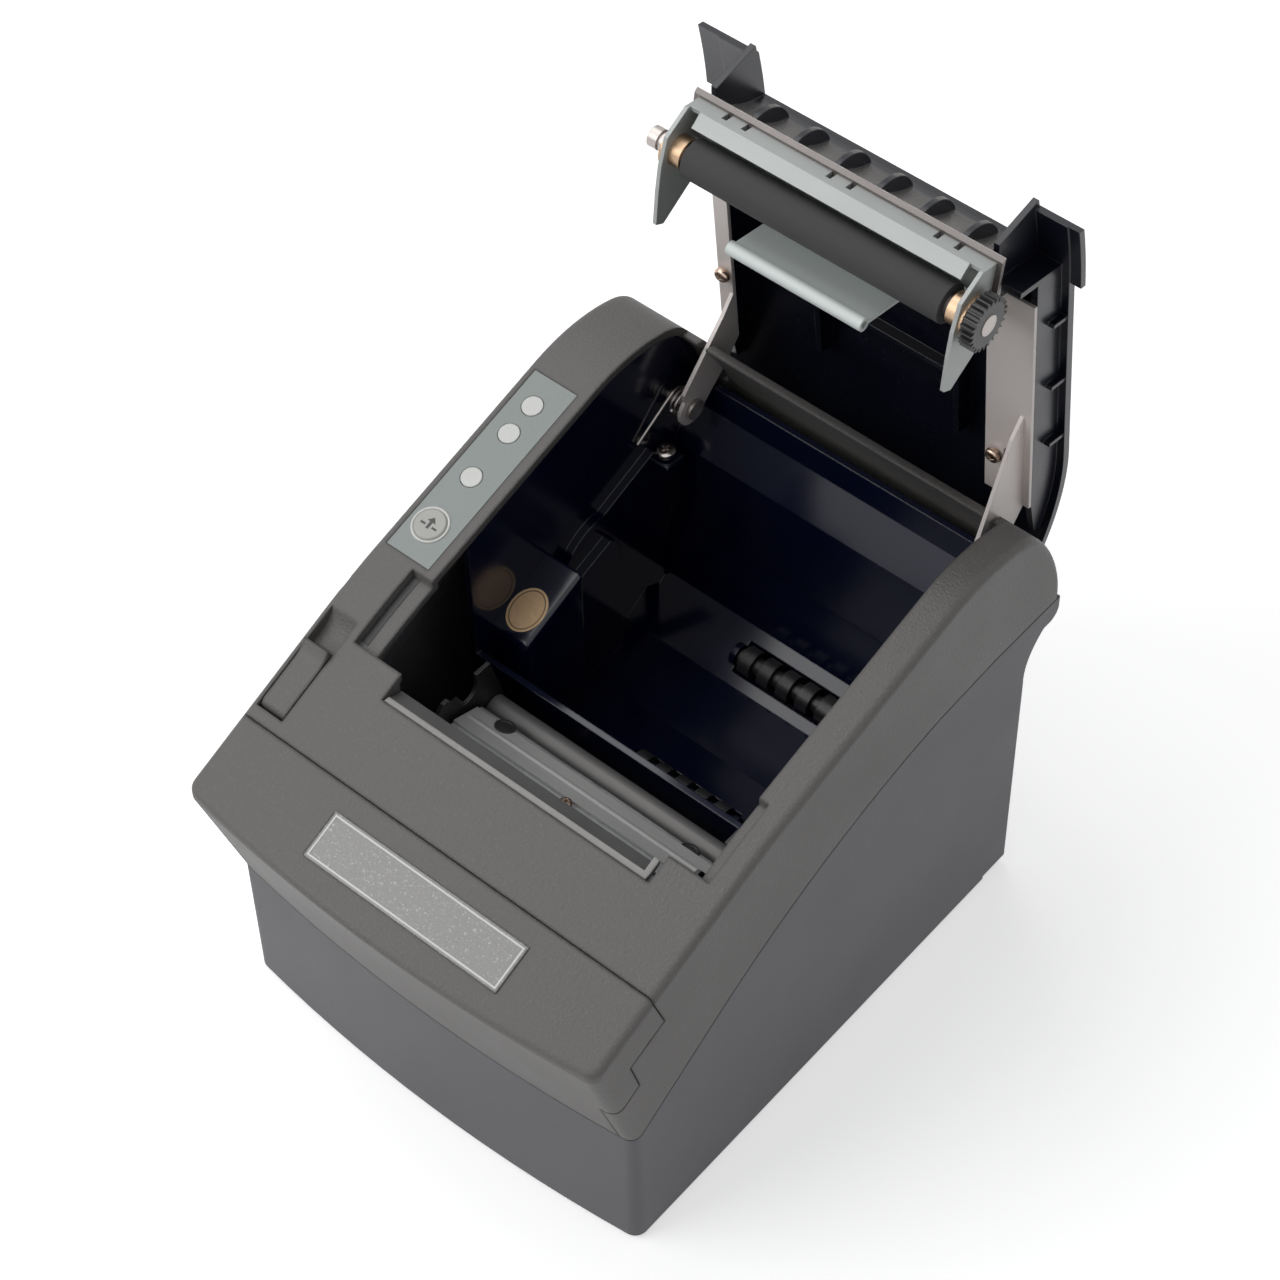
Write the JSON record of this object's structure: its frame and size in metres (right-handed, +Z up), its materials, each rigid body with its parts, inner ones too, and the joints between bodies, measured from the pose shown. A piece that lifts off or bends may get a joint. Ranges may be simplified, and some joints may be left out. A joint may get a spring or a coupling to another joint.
{
  "type": "receipt printer",
  "caption": "Desktop thermal receipt printer with a clamshell lid shown open, a paper bin, a platen and print head, a cutter, and a control panel on its left rail.",
  "frame": {"origin": "middle of the bounding box with the lid open, at the table surface under the rubber feet", "axes": "+X to the right as seen from the front, +Y from front to rear, +Z up"},
  "size_m": [0.145, 0.2152, 0.2448],
  "materials": {
    "case_top": "fine textured",
    "case_base": "fine textured",
    "bin_gloss": "polished",
    "key_plastic": "smooth",
    "lens": "translucent",
    "film": "satin film",
    "rubber": "ground",
    "bright_steel": "polished",
    "sheet_steel": "zinc plated",
    "screw_brass": "passivated",
    "gear_plastic": "smooth",
    "head_ceramic": "glazed",
    "head_alloy": "cast",
    "board": "solder mask",
    "port_black": "moulded"
  },
  "bodies": {
    "base": {"lower_case": "case_base", "upper_case": "case_top", "rubber_feet": "rubber", "base_screws": "screw_brass", "paper_bin": "bin_gloss", "hinge_pins": "bright_steel", "lid_spring": "bright_steel", "control_film": "film", "status_lights": "lens", "panel_board": "board", "lever_pin": "bright_steel", "mechanism_frame": "sheet_steel", "mechanism_screws": "screw_brass", "thermal_head": "head_ceramic", "head_heatsink": "head_alloy", "head_screw": "screw_brass", "head_pivot_pin": "bright_steel", "head_spring": "sheet_steel", "head_ribbon": "board", "paper_guide_bar": "bright_steel", "paper_sensor": "key_plastic", "lid_switch": "key_plastic", "feed_motor": "sheet_steel", "gear_posts": "bright_steel", "cutter_housing": "sheet_steel", "cutter_motor": "sheet_steel", "main_board": "board", "connector_plate": "sheet_steel", "power_inlet": "port_black", "drawer_port": "port_black", "usb_port": "port_black", "network_port": "port_black", "power_switch": "key_plastic"},
    "lid": {"lid_shell": "case_top", "lid_arm_left": "sheet_steel", "lid_arm_right": "sheet_steel", "lid_screws": "screw_brass", "platen_bracket": "sheet_steel", "fixed_blade": "sheet_steel", "paper_guide_plate": "sheet_steel", "platen_bushings": "gear_plastic"},
    "platen": {"platen_shaft": "bright_steel", "platen_rubber": "rubber", "platen_gear": "gear_plastic"},
    "cover": {"front_cover": "case_top"},
    "lever": {"release_lever": "key_plastic"},
    "feed_key": {"feed_button": "lens"},
    "rocker": {"power_rocker": "key_plastic"},
    "front_support": {"front_roller": "gear_plastic"},
    "rear_support": {"rear_roller": "gear_plastic"},
    "cutter_wheel": {"cutter_gear": "gear_plastic"},
    "cutter_drive": {"cutter_pinion": "gear_plastic"},
    "blade": {"blade_carrier": "gear_plastic", "moving_blade": "sheet_steel"},
    "feed_wheel": {"feed_idler": "gear_plastic"},
    "feed_middle": {"feed_reduction": "gear_plastic"},
    "feed_drive": {"feed_pinion": "gear_plastic"}
  },
  "joints": [
    {"name": "lid_hinge", "type": "hinge", "parent": "base", "child": "lid", "pos_m": [0, 0.07441, 0.122], "axis": [1, 0, 0], "range_deg": [0, 100]},
    {"name": "platen_spin", "type": "hinge", "parent": "lid", "child": "platen", "pos_m": [0.00565, 0.06669, 0.22795], "axis": [1, 0, 0], "continuous": true},
    {"name": "front_cover_slide", "type": "slide", "parent": "base", "child": "cover", "axis": [0, -1, 0], "range_m": [0, 0.02]},
    {"name": "release_lever_tilt", "type": "hinge", "parent": "base", "child": "lever", "pos_m": [-0.0657, -0.07238, 0.11014], "axis": [1, 0, 0], "range_deg": [0, 15], "stiffness_Nm_per_rad": 0.05, "springref_deg": -11.46},
    {"name": "feed_press", "type": "slide", "parent": "base", "child": "feed_key", "axis": [0, 0.2706, -0.9627], "range_m": [0, 0.0005], "stiffness_N_per_m": 600, "springref_m": -0.0005},
    {"name": "front_roller_spin", "type": "hinge", "parent": "base", "child": "front_support", "pos_m": [0.00565, 0.01001, 0.048], "axis": [1, 0, 0], "continuous": true},
    {"name": "rear_roller_spin", "type": "hinge", "parent": "base", "child": "rear_support", "pos_m": [0.00565, 0.05981, 0.048], "axis": [1, 0, 0], "continuous": true},
    {"name": "power_rock", "type": "hinge", "parent": "base", "child": "rocker", "pos_m": [0.04, 0.07571, 0.022], "axis": [-1, 0, 0], "range_deg": [0, 14]},
    {"name": "cutter_wheel_turn", "type": "hinge", "parent": "base", "child": "cutter_wheel", "pos_m": [0.00205, -0.07259, 0.0987], "axis": [0, 0, 1], "range_deg": [-0.5, 44.27]},
    {"name": "cutter_drive_turn", "type": "hinge", "parent": "base", "child": "cutter_drive", "pos_m": [-0.01715, -0.07259, 0.0987], "axis": [0, 0, 1], "range_deg": [-131.8, 0.5]},
    {"name": "blade_slide", "type": "slide", "parent": "base", "child": "blade", "axis": [0, 1, 0], "range_m": [0, 0.011]},
    {"name": "feed_wheel_spin", "type": "hinge", "parent": "base", "child": "feed_wheel", "pos_m": [0.05505, -0.02419, 0.07855], "axis": [1, 0, 0], "continuous": true},
    {"name": "feed_middle_spin", "type": "hinge", "parent": "base", "child": "feed_middle", "pos_m": [0.05165, -0.03884, 0.07321], "axis": [1, 0, 0], "continuous": true},
    {"name": "feed_drive_spin", "type": "hinge", "parent": "base", "child": "feed_drive", "pos_m": [0.05165, -0.04845, 0.06092], "axis": [1, 0, 0], "continuous": true}
  ],
  "couplings": [
    {"joint": "cutter_wheel_turn", "follows": "blade_slide", "rad_per_m": 69.444},
    {"joint": "cutter_drive_turn", "follows": "blade_slide", "rad_per_m": -208.33},
    {"joint": "feed_middle_spin", "follows": "feed_wheel_spin", "ratio": -2.25},
    {"joint": "feed_drive_spin", "follows": "feed_wheel_spin", "ratio": 7.5}
  ]
}
